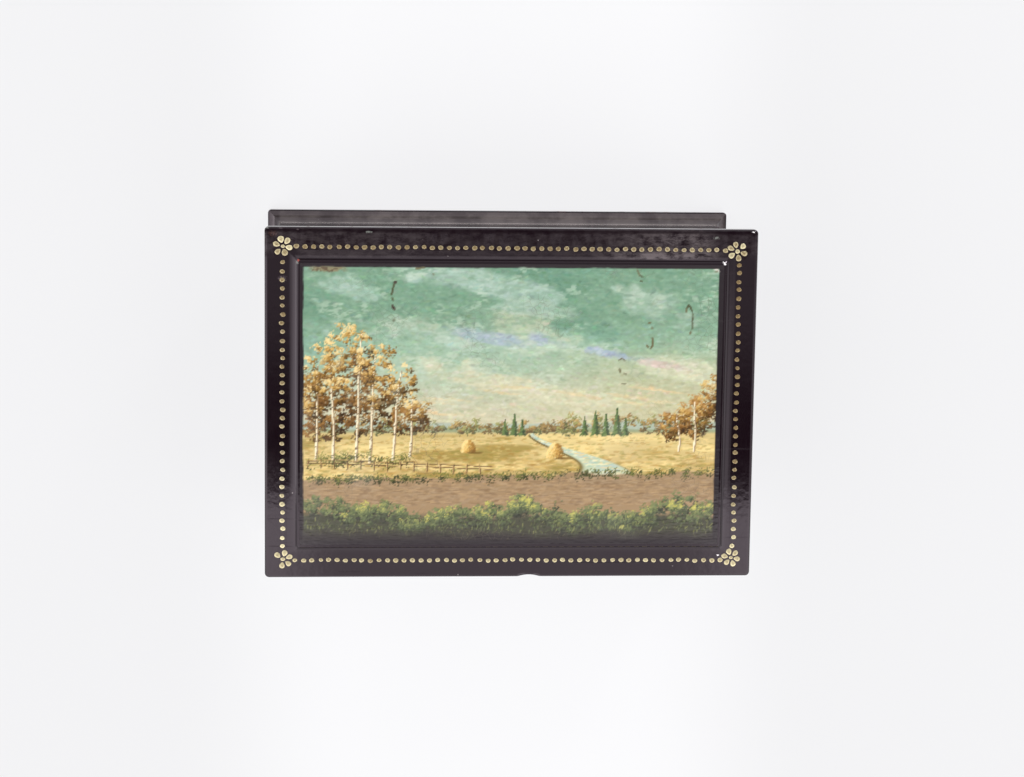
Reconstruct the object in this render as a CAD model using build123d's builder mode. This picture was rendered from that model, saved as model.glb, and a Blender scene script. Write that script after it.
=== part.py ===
from build123d import *
from math import radians, tan
import os

# A lacquered paper box with a hinged lid, closed and standing on its plinth.
# Millimetres. X runs along the front, +Y points at the hinge, +Z is up.
# The origin is the middle of the underside.

os.makedirs("parts", exist_ok=True)

# Boards: the plinth and the lid share one length and depth
box_length = 160.0
box_depth = 115.0
plinth_thickness = 3.0
plinth_corner = 1.2
plinth_round = 0.4
lid_thickness = 4.0
lid_corner = 1.4
lid_top_round = 1.2
lid_under_round = 0.8

# Wound paper tube: the walls, with the lid's rim sawn off the top
overhang = 4.0
wall_height = 54.0
wall_thickness = 4.5
wall_corner = 0.8
rim_height = 9.0
seam_round = 0.4

# Inner liner, whose top edge is the lip that the lid closes over
liner_thickness = 2.0
liner_corner = 1.5
lip_height = 2.5
lip_clearance = 0.3
lip_round = 0.5
floor_thickness = 3.0

# Hollow mouldings above the plinth and under the lid, set back from the boards' edges
plinth_setback = 0.4
cornice_setback = 1.0
moulding_land = 0.3
moulding_height = 4.4
moulding_hollow = 0.48

# Raised panel on the lid, with hollow sloping sides
frame_width = 7.3
panel_slope = 3.4
panel_height = 2.0
panel_hollow = 0.44
panel_round = 0.4
panel_mitre_round = 1.0

# Shallow dent worn into the lid's front edge
dent_place = 6.6
dent_width = 7.0
dent_depth = 0.6
dent_round = 5.0

# Barrel hinge set into the back
knuckle_count = 5
knuckle_length = 11.0
knuckle_gap = 0.2
barrel_radius = 1.6
barrel_clearance = 0.25
hinge_inset = 1.5
rod_radius = 0.7
rod_clearance = 0.05
rod_bevel = 0.2
leaf_thickness = 0.8
leaf_cover = 1.5
kerf_clearance = 0.05
back_bevel_angle = 53.0

# Small pins driven through the walls and the hinge leaves
cross_pin_count = 3
cross_pin_radius = 0.6
cross_pin_clearance = 0.03

# Heights that follow
seam_z = plinth_thickness + wall_height
lid_z = seam_z + rim_height
lid_top_z = lid_z + lid_thickness

# Outlines that follow
wall_length = box_length - 2 * overhang
wall_depth = box_depth - 2 * overhang
inner_length = wall_length - 2 * wall_thickness
inner_depth = wall_depth - 2 * wall_thickness
cavity_length = inner_length - 2 * liner_thickness
cavity_depth = inner_depth - 2 * liner_thickness
panel_length = box_length - 2 * frame_width
panel_depth = box_depth - 2 * frame_width

# Hinge places that follow
hinge_y = wall_depth / 2 - hinge_inset
hinge_length = knuckle_count * knuckle_length
groove_radius = barrel_radius + barrel_clearance
leaf_depth = rim_height - leaf_cover
kerf_depth = leaf_depth + kerf_clearance
leaf_y = hinge_y - barrel_radius + leaf_thickness / 2
cross_pin_depth = (groove_radius + leaf_depth) / 2
cross_pin_pitch = hinge_length / cross_pin_count
hinge_line = Plane((0, hinge_y, seam_z), x_dir=(0, 1, 0), z_dir=(1, 0, 0))
inner_back = Plane((0, inner_depth / 2, seam_z), x_dir=(-1, 0, 0), z_dir=(0, 1, 0))

# Plinth board: the foot of the box
with BuildPart() as plinth_board:
    with BuildSketch():
        RectangleRounded(box_length, box_depth, plinth_corner)
    extrude(amount=plinth_thickness)
    fillet(plinth_board.faces().filter_by(Axis.Z).edges(), radius=plinth_round)
plinth_board.part.label = "plinth_board"
export_step(plinth_board.part, "parts/plinth_board.step")

# Wall tube and lid rim: four walls wound as one piece, then sawn in two at the seam
for name, foot_z, height, side in (
    ("wall_tube", plinth_thickness, wall_height, -1),
    ("lid_rim", seam_z, rim_height, 1),
):
    with BuildPart() as tube:
        with BuildSketch(Plane.XY.offset(foot_z)):
            RectangleRounded(wall_length, wall_depth, wall_corner)
        extrude(amount=height)
        seam_face = tube.faces().sort_by(Axis.Z)[0 if side > 0 else -1]
        fillet(seam_face.edges(), radius=seam_round)
        with BuildSketch(Plane.XY.offset(foot_z)):
            Rectangle(inner_length, inner_depth)
        extrude(amount=height, mode=Mode.SUBTRACT)

        # Bevel along the back, which stops the open lid
        bevel_reach = hinge_inset + overhang
        bevel_rise = side * bevel_reach * tan(radians(back_bevel_angle))
        with BuildSketch(hinge_line):
            Polygon((0, 0), (bevel_reach, 0), (bevel_reach, bevel_rise), align=None)
        extrude(amount=box_length / 2, both=True, mode=Mode.SUBTRACT)

        # Groove for the knuckles, kerf for the leaf and holes for the cross pins
        with BuildSketch(hinge_line):
            Circle(groove_radius)
            with Locations((leaf_y - hinge_y, side * kerf_depth / 2)):
                Rectangle(leaf_thickness + 2 * kerf_clearance, kerf_depth)
        extrude(amount=hinge_length / 2 + kerf_clearance, both=True, mode=Mode.SUBTRACT)
        with BuildSketch(inner_back):
            with Locations((0, side * cross_pin_depth)):
                with GridLocations(cross_pin_pitch, 0, cross_pin_count, 1):
                    Circle(cross_pin_radius + cross_pin_clearance)
        extrude(amount=wall_thickness, mode=Mode.SUBTRACT)
    tube.part.label = name
    export_step(tube.part, f"parts/{name}.step")

# Floor board: set inside the tube, on the plinth board
with BuildPart() as floor_board:
    with BuildSketch(Plane.XY.offset(plinth_thickness)):
        Rectangle(inner_length, inner_depth)
    extrude(amount=floor_thickness)
floor_board.part.label = "floor_board"
export_step(floor_board.part, "parts/floor_board.step")

# Liner tube: stands on the floor board and rises past the seam as the lip
with BuildPart() as liner_tube:
    floor_z = plinth_thickness + floor_thickness
    lip_z = seam_z + lip_height
    with BuildSketch(Plane.XY.offset(floor_z)):
        Rectangle(inner_length, inner_depth)
    extrude(amount=seam_z - floor_z)
    with BuildSketch(Plane.XY.offset(seam_z)):
        Rectangle(inner_length - 2 * lip_clearance, inner_depth - 2 * lip_clearance)
    extrude(amount=lip_height)
    with BuildSketch(Plane.XY.offset(floor_z)):
        RectangleRounded(cavity_length, cavity_depth, liner_corner)
    extrude(amount=lip_z - floor_z, mode=Mode.SUBTRACT)
    fillet(liner_tube.faces().sort_by(Axis.Z)[-1].outer_wire().edges(), radius=lip_round)
liner_tube.part.label = "liner_tube"
export_step(liner_tube.part, "parts/liner_tube.step")

# Lid board: rounded edges, with the worn dent in front
with BuildPart() as lid_board:
    dent_radius = (dent_width**2 / 4 + dent_depth**2) / (2 * dent_depth)
    dent_y = -box_depth / 2 + dent_depth - dent_radius
    with BuildSketch(Plane.XY.offset(lid_z)) as lid_outline:
        RectangleRounded(box_length, box_depth, lid_corner)
        with Locations((dent_place, dent_y)):
            Circle(dent_radius, mode=Mode.SUBTRACT)
        dent_ends = lid_outline.vertices().group_by(Axis.Y)[0].sort_by(Axis.X)[1:-1]
        fillet(dent_ends, radius=dent_round)
    extrude(amount=lid_thickness)
    fillet(lid_board.faces().sort_by(Axis.Z)[-1].edges(), radius=lid_top_round)
    fillet(lid_board.faces().sort_by(Axis.Z)[0].edges(), radius=lid_under_round)
lid_board.part.label = "lid_board"
export_step(lid_board.part, "parts/lid_board.step")

# Picture panel: a flat top with hollow slopes, which meet in mitres where two sections cross
with BuildPart() as picture_panel:
    for run_way, foot_length, run_length, mode in (
        ((0, -1, 0), panel_length, panel_depth, Mode.ADD),
        ((1, 0, 0), panel_depth, panel_length, Mode.INTERSECT),
    ):
        foot = foot_length / 2
        shoulder = foot - panel_slope
        run = Vector(run_way)
        start = Vector(0, 0, lid_top_z) - run * (run_length / 2)
        across = Vector(0, 0, 1).cross(run)
        with BuildSketch(Plane(start, x_dir=across, z_dir=run)):
            with BuildLine():
                Line((-foot, 0), (foot, 0))
                SagittaArc((foot, 0), (shoulder, panel_height), panel_hollow)
                Line((shoulder, panel_height), (-shoulder, panel_height))
                SagittaArc((-shoulder, panel_height), (-foot, 0), panel_hollow)
            make_face()
        extrude(amount=run_length, mode=mode)
    fillet(picture_panel.edges().filter_by_position(Axis.Z, lid_top_z, lid_top_z + panel_height, (False, False)),
           radius=panel_mitre_round)
    fillet(picture_panel.faces().sort_by(Axis.Z)[-1].edges(), radius=panel_round)
picture_panel.part.label = "picture_panel"
export_step(picture_panel.part, "parts/picture_panel.step")

# Mouldings: four mitred strips with a hollow slope above the plinth, and four under the lid
mouldings = {
    "plinth": (plinth_thickness, 1, overhang - plinth_setback),
    "cornice": (lid_z, -1, overhang - cornice_setback),
}
sides = {
    "front": ((0, -1, 0), wall_depth / 2, wall_length / 2),
    "back": ((0, 1, 0), wall_depth / 2, wall_length / 2),
    "left": ((-1, 0, 0), wall_length / 2, wall_depth / 2),
    "right": ((1, 0, 0), wall_length / 2, wall_depth / 2),
}
for moulding, (seat_z, way, width) in mouldings.items():
    for side, (outward, reach, half_run) in sides.items():
        out = Vector(outward)
        along = out.cross(Vector(0, 0, 1))
        seat = out * reach + Vector(0, 0, seat_z)
        with BuildPart() as strip:
            with BuildSketch(Plane(seat, x_dir=out, z_dir=along)):
                with BuildLine():
                    slope_top = (0, way * moulding_height)
                    slope_foot = (width, way * moulding_land)
                    SagittaArc(slope_foot, slope_top, way * moulding_hollow)
                    Polyline(
                        slope_top,
                        (-wall_corner, way * moulding_height),
                        (-wall_corner, 0),
                        (width, 0),
                        slope_foot,
                    )
                make_face()
            extrude(amount=half_run + width, both=True)
            for end in (-1, 1):
                corner = seat + along * (end * half_run)
                split(bisect_by=Plane(corner, z_dir=along * end - out), keep=Keep.BOTTOM)
            with BuildSketch(Plane.XY.offset(seat_z)):
                RectangleRounded(wall_length, wall_depth, wall_corner)
            extrude(amount=way * moulding_height, mode=Mode.SUBTRACT)
        strip.part.label = f"{moulding}_{side}"
        export_step(strip.part, f"parts/{moulding}_{side}.step")

# Hinge leaves: a plate in each kerf, with the knuckles by turns on the box and on the lid
for body, side, first_knuckle in (("box", -1, 0), ("lid", 1, 1)):
    plate_depth = leaf_depth - groove_radius
    with BuildPart() as leaf:
        with Locations((0, leaf_y, seam_z + side * (groove_radius + plate_depth / 2))):
            Box(hinge_length, leaf_thickness, plate_depth)
        for knuckle in range(first_knuckle, knuckle_count, 2):
            knuckle_x = (knuckle - (knuckle_count - 1) / 2) * knuckle_length
            with BuildSketch(hinge_line.offset(knuckle_x)):
                Circle(barrel_radius)
                with Locations((leaf_y - hinge_y, side * groove_radius / 2)):
                    Rectangle(leaf_thickness, groove_radius)
            extrude(amount=(knuckle_length - knuckle_gap) / 2, both=True)
        with BuildSketch(hinge_line):
            Circle(rod_radius + rod_clearance)
        extrude(amount=hinge_length / 2, both=True, mode=Mode.SUBTRACT)
        with BuildSketch(inner_back):
            with Locations((0, side * cross_pin_depth)):
                with GridLocations(cross_pin_pitch, 0, cross_pin_count, 1):
                    Circle(cross_pin_radius + cross_pin_clearance)
        extrude(amount=wall_thickness, mode=Mode.SUBTRACT)
    leaf.part.label = f"hinge_leaf_{body}"
    export_step(leaf.part, f"parts/hinge_leaf_{body}.step")

    # Cross pins: through the wall or the rim, flush with both faces
    with BuildPart() as cross_pins:
        with BuildSketch(inner_back):
            with Locations((0, side * cross_pin_depth)):
                with GridLocations(cross_pin_pitch, 0, cross_pin_count, 1):
                    Circle(cross_pin_radius)
        extrude(amount=wall_thickness)
    cross_pins.part.label = f"cross_pins_{body}"
    export_step(cross_pins.part, f"parts/cross_pins_{body}.step")

# Hinge rod: the wire that the knuckles turn on
with BuildPart() as hinge_rod:
    with BuildSketch(hinge_line):
        Circle(rod_radius)
    extrude(amount=(hinge_length - knuckle_gap) / 2, both=True)
    chamfer(hinge_rod.edges().filter_by(GeomType.CIRCLE), length=rod_bevel)
hinge_rod.part.label = "hinge_rod"
export_step(hinge_rod.part, "parts/hinge_rod.step")
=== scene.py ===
# %% [markdown]
# # A black lacquered box with a painted lid
# The box is made of oiled paper board under many coats of black lacquer. Its lid carries a raised panel
# with a small painting, and round the panel runs a border of gold dots with a flower in each corner.
#
# The solids come ready made from the packed model, and they are never moved or changed here. This lesson
# gives them their finishes, and adds what is too thin to be a solid: the gold and the painting.

# %% Load the solids
import math
from functools import partialmethod

import bmesh
import bpy
import numpy as np
from mathutils import Matrix, Vector
from mathutils.bvhtree import BVHTree


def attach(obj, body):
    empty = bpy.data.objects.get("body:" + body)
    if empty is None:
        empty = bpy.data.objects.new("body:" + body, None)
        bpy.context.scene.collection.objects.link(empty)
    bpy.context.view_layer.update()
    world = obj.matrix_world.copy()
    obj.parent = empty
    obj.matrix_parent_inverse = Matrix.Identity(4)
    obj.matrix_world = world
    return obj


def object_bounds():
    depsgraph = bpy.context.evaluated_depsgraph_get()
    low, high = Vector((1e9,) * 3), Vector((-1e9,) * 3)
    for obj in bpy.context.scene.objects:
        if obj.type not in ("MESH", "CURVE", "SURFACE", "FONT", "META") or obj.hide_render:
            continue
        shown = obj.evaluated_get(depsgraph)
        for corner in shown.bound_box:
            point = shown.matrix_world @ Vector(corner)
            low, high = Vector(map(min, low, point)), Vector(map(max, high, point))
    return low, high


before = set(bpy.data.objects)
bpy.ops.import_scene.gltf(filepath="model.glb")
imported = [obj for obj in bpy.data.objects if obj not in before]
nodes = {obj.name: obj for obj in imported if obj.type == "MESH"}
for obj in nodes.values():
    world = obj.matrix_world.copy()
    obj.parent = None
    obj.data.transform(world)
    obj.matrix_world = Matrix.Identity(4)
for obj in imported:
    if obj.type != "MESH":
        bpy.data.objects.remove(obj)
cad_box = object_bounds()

MM = 0.001
bpy.context.scene.view_settings.view_transform = "Standard"


def size_in_mm(box):
    """A box's length, depth and height."""
    return [round((high - low) / MM, 1) for low, high in zip(*box)]


def add_object(name, data):
    """A new object in the scene."""
    made = bpy.data.objects.new(name, data)
    bpy.context.scene.collection.objects.link(made)
    return made


print("solids:", len(nodes), "box in mm:", size_in_mm(cad_box))

# %% [markdown]
# ## The camera
# The photograph looks almost straight at the lid, a little from the left and from behind the hinge side,
# so the back of the plinth shows past the lid's edge. The camera's place and turn are given from that
# perspective.
# A look-at constraint would also work, but it can't hold the small roll that the photograph has.

# %% Set up the camera
PICTURE_WIDTH_PX = 1024
FOCAL_PX = 2595.5
CAMERA_PLACE = Vector((-64.6, 131.3, 902.9)) * MM
LOOK = Vector((0.0767, -0.1492, -0.9858)).normalized()
PICTURE_UP = Vector((-0.0018, 0.9887, -0.1498))

lens = bpy.data.cameras.new("photo_camera")
lens.sensor_width = 36
lens.lens = FOCAL_PX * lens.sensor_width / PICTURE_WIDTH_PX
across = LOOK.cross(PICTURE_UP).normalized()
camera = add_object("photo_camera", lens)
camera.matrix_world = Matrix((across, across.cross(LOOK), -LOOK)).transposed().to_4x4()
camera.location = CAMERA_PLACE
bpy.context.scene.camera = camera
print("camera lens in mm:", round(lens.lens, 2))


# %% [markdown]
# ## Fields
# Every finish below is a graph of shader nodes. A node's output is a field: a value or colour that
# differs from point to point. The class here lets fields be added, multiplied and compared like numbers,
# and each step makes one node, so a mask reads like a sum on paper.

# %% Write nodes as sums
class Field:
    """One output of a shader node."""

    def __init__(self, socket):
        self.socket = socket
        self.tree = socket.id_data

    def __getitem__(self, name):
        """Another output of the same node."""
        return Field(self.socket.node.outputs[name])

    def calc(self, operation, *others, clamp=False):
        """A Math node's result, with this field as its first value."""
        inputs = dict(enumerate((self, *others)))
        return put(self.tree, "Math", inputs, operation=operation, use_clamp=clamp)

    __add__ = partialmethod(calc, "ADD")
    __sub__ = partialmethod(calc, "SUBTRACT")
    __mul__ = partialmethod(calc, "MULTIPLY")
    __truediv__ = partialmethod(calc, "DIVIDE")
    __lt__ = partialmethod(calc, "LESS_THAN")
    __gt__ = partialmethod(calc, "GREATER_THAN")
    __abs__ = partialmethod(calc, "ABSOLUTE")
    most = partialmethod(calc, "MAXIMUM")
    least = partialmethod(calc, "MINIMUM")

    def ramp(self, start, end, low=0.0, high=1.0):
        """Goes smoothly from low to high as this field goes from start to end."""
        inputs = {"Value": self, "From Min": start, "From Max": end, "To Min": low, "To Max": high}
        return put(self.tree, "MapRange", inputs, interpolation_type="SMOOTHSTEP")["Result"]

    def fade(self, start, end, low=0.0, high=1.0):
        """A ramp between two lengths in mm."""
        return self.ramp(start * MM, end * MM, low, high)

    def mix(self, under, over):
        """Two colours, over on top of under where this field is 1."""
        return put(self.tree, "MixRGB", {"Fac": self, "Color1": under, "Color2": over})

    def axes(self):
        """A place's X, Y and Z."""
        parts = put(self.tree, "SeparateXYZ", {0: self})
        return parts["X"], parts["Y"], parts["Z"]

    def noise(self, scale, detail, roughness=0.5):
        """A soft random value at a place, in blotches of about 1 / scale metres."""
        inputs = {"Vector": self, "Scale": scale, "Detail": detail, "Roughness": roughness}
        return put(self.tree, "TexNoise", inputs)["Fac"]

    def streaks(self, scales, detail, roughness=0.5, turn=0.0):
        """The same with a scale for each axis, turned about Z."""
        inputs = {"Vector": self, "Rotation": (0, 0, turn), "Scale": scales}
        return put(self.tree, "Mapping", inputs).noise(1.0, detail, roughness)


print("ways to make a field:", [name for name in vars(Field) if not name.startswith("_")])


# %% Make nodes, groups and materials
def fill(node, inputs):
    """Fills a node's inputs: a field is linked, and any other value is set."""
    for key, value in inputs.items():
        if isinstance(value, Field):
            node.id_data.links.new(value.socket, node.inputs[key])
        else:
            node.inputs[key].default_value = value


def put(tree, kind, inputs=None, **settings):
    """The first output of a new shader node."""
    made = tree.nodes.new("ShaderNode" + kind)
    for name, value in settings.items():
        setattr(made, name, value)
    fill(made, inputs or {})
    return Field(made.outputs[0])


def here(tree):
    """Each point's own place in metres, the same in every pose."""
    return put(tree, "TexCoord")["Object"]


def new_group(name, inputs, outputs):
    """An empty node group, its inputs as a field and its output node."""
    group = bpy.data.node_groups.new(name, "ShaderNodeTree")
    for socket, value in inputs.items():
        kind = "NodeSocketVector" if isinstance(value, tuple) else "NodeSocketFloat"
        group.interface.new_socket(socket, in_out="INPUT", socket_type=kind).default_value = value
    for socket in outputs:
        group.interface.new_socket(socket, in_out="OUTPUT", socket_type="NodeSocketFloat")
    return group, Field(group.nodes.new("NodeGroupInput").outputs[0]), group.nodes.new("NodeGroupOutput")


def new_material(name):
    """A new material, its nodes and its Principled shader."""
    made = bpy.data.materials.new(name)
    made.use_nodes = True
    return made, made.node_tree, made.node_tree.nodes["Principled BSDF"]


def emboss(shader, height, strength, depth):
    """Lets a height bend a shader's normals, up to a depth in mm."""
    inputs = {"Strength": strength, "Distance": depth * MM, "Height": height}
    fill(shader, {"Normal": put(shader.id_data, "Bump", inputs)})


print("node helpers ready")

# %% [markdown]
# ## The light tent
# Small shiny things are photographed in a tent of white cloth, which is bright all round, with a dark
# opening for the camera. Polished lacquer is a mirror, so the tent decides how it looks: the lid is black
# where it mirrors the opening, and grey where it mirrors the white table in front. The tent is therefore
# drawn into the world shader by direction: a dark opening overhead, a bright table, a bright left side, a
# weaker right side, a dark ceiling behind the hinge and a pale horizon. The camera itself sees a plain
# pale background. Each part has a glow, and the limits between which it fades in along one axis of the
# direction.

# %% Draw the tent into the world
OPENING_DARK, OPENING_LIGHT, OPENING_Y = 0.02, 0.5, (-0.165, -0.11)
CEILING_GLOW, CEILING_Z = 0.2, (0.766, 0.84)
LEFT_GLOW, LEFT_X = 2.1, (-0.28, -1.0)
RIGHT_GLOW, RIGHT_X = 1.1, (0.3, 0.72)
RIGHT_END_GLOW, RIGHT_END_X, RIGHT_END_Y = 0.3, (0.86, 0.98), (-0.14, -0.09)
FAR_WALL_GLOW, FAR_WALL_X, FAR_WALL_Z = 0.8, (0.3, 0.6), (0.14, 0.28)
BACK_GLOW, BACK_Y, BACK_END_Y = 1.1, (0.55, 0.85), (0.94, 0.985)
TABLE_GLOW, TABLE_ENDS, TABLE_MIDDLE_X, TABLE_ENDS_X = 1.3, 1.1, 0.075, (0.066, 0.09)
TABLE_EDGE_GLOW, TABLE_NEAR_Y, TABLE_EDGE_Y = 1.2, (-0.216, -0.187), (-0.194, -0.186)
HORIZON_GLOW, HORIZON_Z = 1.2, (0.1, 0.3)
PALE_BACKGROUND = 0.95
TENT_CLOTH = (1.0, 0.995, 0.99, 1)

world = bpy.data.worlds.new("light_tent")
bpy.context.scene.world = world
world.use_nodes = True
sky = world.node_tree
x, y, z = put(sky, "TexCoord")["Generated"].axes()

opening = y.ramp(*OPENING_Y, OPENING_DARK, OPENING_LIGHT)
ceiling = z.ramp(*CEILING_Z, CEILING_GLOW, opening)
left = x.ramp(*LEFT_X, 0.0, LEFT_GLOW)
right = x.ramp(*RIGHT_X, 0.0, RIGHT_GLOW) * x.ramp(*RIGHT_END_X, 1.0, RIGHT_END_GLOW)
right = right * y.ramp(*RIGHT_END_Y, 1.0, RIGHT_END_GLOW)
low_wall = abs(x).ramp(*FAR_WALL_X, CEILING_GLOW, FAR_WALL_GLOW)
far_wall = z.ramp(*FAR_WALL_Z, low_wall, ceiling)
back = y.ramp(*BACK_Y, 0.0, BACK_GLOW) * y.ramp(*BACK_END_Y, 1.0, 0.0)
room = far_wall + back + (left + right)

table = abs(x - TABLE_MIDDLE_X).ramp(*TABLE_ENDS_X, TABLE_GLOW, TABLE_GLOW + TABLE_ENDS)
table = table * y.ramp(*TABLE_NEAR_Y, 1.0, TABLE_EDGE_GLOW)
table = z.ramp(*HORIZON_Z, HORIZON_GLOW, table)
glow = y.ramp(*TABLE_EDGE_Y, table, room)
seen = put(sky, "LightPath")["Is Camera Ray"]
fill(sky.nodes["Background"], {"Strength": seen.ramp(0.0, 1.0, glow, PALE_BACKGROUND), "Color": TENT_CLOTH})
print("world:", world.name)

# %% [markdown]
# ## The key lamp
# One small lamp stands behind the box on the right. It sparkles on the rounded corners and in the gold,
# and it gives the floor a direction of light. A small lamp must be bright to matter, so its power follows
# from the brightness wanted for its face and from its area.

# %% Hang the key lamp
KEY_PLACE = Vector((0.62, 0.85, 0.24))
KEY_SIZE = 0.17
KEY_GLOW = 40.0
key = bpy.data.lights.new("key_lamp", "AREA")
key.size = KEY_SIZE
key.energy = math.pi * KEY_SIZE * KEY_SIZE * KEY_GLOW
key_lamp = add_object("key_lamp", key)
key_lamp.location = KEY_PLACE
lid_middle = Vector((0, 0, cad_box[1].z))
key_lamp.rotation_euler = (lid_middle - KEY_PLACE).to_track_quat("-Z", "Y").to_euler()
print("lamp:", key_lamp.name)

# %% [markdown]
# ## The floor
# A sheet of white paper lies under the box.
# It has a trace of mottling, because an even white looks unreal. A photographer lights the paper apart
# from the object, so that the shadow on it stays faint. Here the paper glows a little by itself, but only
# for the camera and for mirrors, so that the glow doesn't light the box.

# %% Lay the paper
PAPER = (0.915, 0.915, 0.93, 1)
PAPER_LIGHT = (0.94, 0.94, 0.955, 1)
PAPER_SIDE_SHADE = 0.925
OWN_GLOW = 0.86
REACH = 4.0
floor_mesh = bpy.data.meshes.new("paper_floor")
corners = [(-REACH, -REACH, 0), (REACH, -REACH, 0), (REACH, REACH, 0), (-REACH, REACH, 0)]
floor_mesh.from_pydata(corners, [], [(0, 1, 2, 3)])
floor = add_object("paper_floor", floor_mesh)

paper, tree, shader = new_material("white_paper")
# Towards the left and right the paper is darker: painted shade where the lamplight falls off.
painted_side_shade = abs(here(tree).axes()[0]).fade(50, 115, 1.0, PAPER_SIDE_SHADE)
paper_tone = here(tree).noise(6.0, 4.0).mix(PAPER, PAPER_LIGHT)
paper_tone = put(tree, "VectorMath", {0: paper_tone, "Scale": painted_side_shade}, operation="SCALE")
fill(shader, {"Base Color": paper_tone, "Roughness": 0.9})
lit_paper = put(tree, "Emission", {"Color": paper_tone})
ray = put(tree, "LightPath")
looked_at = ray["Is Camera Ray"].most(ray["Is Glossy Ray"]).most(ray["Is Transmission Ray"])
blend = put(tree, "MixShader", {0: looked_at * OWN_GLOW, 1: Field(shader.outputs[0]), 2: lit_paper})
fill(tree.nodes["Material Output"], {"Surface": blend})
floor_mesh.materials.append(paper)
print("stage:", floor.name)

# %% [markdown]
# ## What lacquer looks like close up
# Lacquer is rubbed down and polished by hand. It keeps a faint swell like the skin of an orange, it
# gathers a grey haze of dust and wax in soft clouds, it is scratched in long fine lines, and here and
# there a chip shows pale. Black and red lacquer and the painting share all four, so they are one node
# group.

# %% Build the group for handled lacquer
SCRATCH_TURNS = (0.35, -0.8)
SCRATCH_SCALES = (22.0, 1500.0, 22.0)
SCRATCH_DEPTH = 0.3
FLECK_SIZE = 0.1
FLECK_FROM = 0.9
handled, given, result = new_group("handled_lacquer", {"Haze Scale": 40.0, "Fleck Scale": 240.0},
                                   ("Haze", "Scratch", "Fleck", "Height"))
place = here(handled)
clouds = place.noise(given["Haze Scale"], 5.0, 0.62).ramp(0.45, 0.75)
patches = place.noise(16.0, 2.0).ramp(0.38, 0.66)
lines = [place.streaks(SCRATCH_SCALES, 1.0, turn=turn).ramp(0.74, 0.8) for turn in SCRATCH_TURNS]
scratch = lines[0].most(lines[1])
cells = put(handled, "TexVoronoi", {"Vector": place, "Scale": given["Fleck Scale"]})
chance = put(handled, "SeparateColor", {0: cells["Color"]})
speck = cells["Distance"] < place.noise(2600.0, 2.0) * FLECK_SIZE
fill(result, {
    "Haze": clouds * patches,
    "Scratch": scratch,
    "Fleck": speck * (chance > FLECK_FROM),
    "Height": place.noise(420.0, 2.0) - scratch * SCRATCH_DEPTH,
})
print("group:", handled.name)

# %% [markdown]
# ## Worn rims
# Hands and shelves rub the lacquer off the outer edges first, and the red-brown primer shows. The boards
# are plain rectangles, so the distance to the nearest edge follows from a point's own place. A Bevel or
# Pointiness node could find edges too, but a mask from the place looks the same on any mesh.

# %% Build the group for worn rims
RUBBED = 0.2
BOARD_RIM = {"Half Length": 80 * MM, "Half Depth": 57.5 * MM, "Band": 0.8 * MM}
worn_rim, given, result = new_group("worn_rim", BOARD_RIM, ("Wear",))
place = here(worn_rim)
x, y, _ = place.axes()
edge = (given["Half Length"] - abs(x)).least(given["Half Depth"] - abs(y))
depth = place.noise(190.0, 5.0, 0.65) - edge / given["Band"] * RUBBED
fill(result, {"Wear": depth.ramp(0.57, 0.64)})
print("group:", worn_rim.name)

# %% [markdown]
# ## Bare spots and painted highlights
# A few places are rubbed or knocked through where the photograph shows it, and a few small light spots are
# painted highlights. Each is a ragged spot round a point, so a group takes the point and the size and puts
# out the mask.

# %% Build the group for bare spots
RAGGED = 2.6
SPOT = {"Place": (0, 0, 0), "Size": (MM, MM, MM), "Softness": 0.4}
bare_and_highlight_spot, given, result = new_group("bare_and_highlight_spot", SPOT, ("Mask",))
place = here(bare_and_highlight_spot)
offset = put(bare_and_highlight_spot, "VectorMath", {0: place, 1: given["Place"]}, operation="SUBTRACT")
share = put(bare_and_highlight_spot, "VectorMath", {0: offset, 1: given["Size"]}, operation="DIVIDE")
away = put(bare_and_highlight_spot, "VectorMath", {0: share}, operation="LENGTH")["Value"]
edge = (place.noise(1700.0, 4.0, 0.6) - 0.5) * RAGGED + away
fill(result, {"Mask": edge.ramp(1.0, given["Softness"] * -1.0 + 1.0)})
print("group:", bare_and_highlight_spot.name)

# %% [markdown]
# ## Black and red lacquer
# Both are one recipe: a coat colour, grey haze over it, primer where it is worn, and pale flecks. The
# gloss comes from a low roughness on the shader itself. The black is a warm one, so its mirror has a
# tinge of purple. The red inside of the lid is the same board as its black outside, so that material
# paints by place: what lies inside the rim is red.

# %% Write the recipe for lacquer
BLACK = (0.006, 0.0023, 0.0042, 1)
BLACK_HAZE = (0.04, 0.028, 0.031, 1)
# The lid's haze colour below is haze, and on the right of the lid and the panel also a painted sheen.
LID_HAZE_AND_SHEEN = (0.12, 0.1, 0.104, 1)
# The ledge colour below is dust, and on the back ledge also a painted reflection of the bright backdrop.
LEDGE_DUST_AND_REFLECTION = (0.26, 0.225, 0.215, 1)
MIRROR_TINGE = (1.0, 0.87, 0.97, 1)
PRIMER = (0.045, 0.019, 0.015, 1)
RED_PRIMER = (0.3, 0.045, 0.03, 1)
CHIP_AND_HIGHLIGHT = (0.13, 0.135, 0.125, 1)
WHITE_CHIP_AND_HIGHLIGHT = (0.95, 0.91, 0.92, 1)
SMEAR_AND_HIGHLIGHT = (0.06, 0.045, 0.05, 1)
RED = (0.36, 0.028, 0.016, 1)
RED_HAZE = (0.4, 0.09, 0.06, 1)
FLECK = (0.2, 0.18, 0.18, 1)
FAINT_HAZE = 0.25
POLISHED = 0.055
DULL_ADDS = 0.14
BARE_ADDS = 0.35
SCRATCH_ADDS = 0.12
INSIDE_HALF_LENGTH = 72.0 * MM
INSIDE_HALF_DEPTH = 49.5 * MM
LID_BOARD_MIDDLE = 67.5 * MM


def inside_lid(tree):
    """1 on the faces that close the box from above, 0 on the outside."""
    x, y, z = here(tree).axes()
    return (abs(x) < INSIDE_HALF_LENGTH) * (abs(y) < INSIDE_HALF_DEPTH) * (z < LID_BOARD_MIDDLE)


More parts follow.
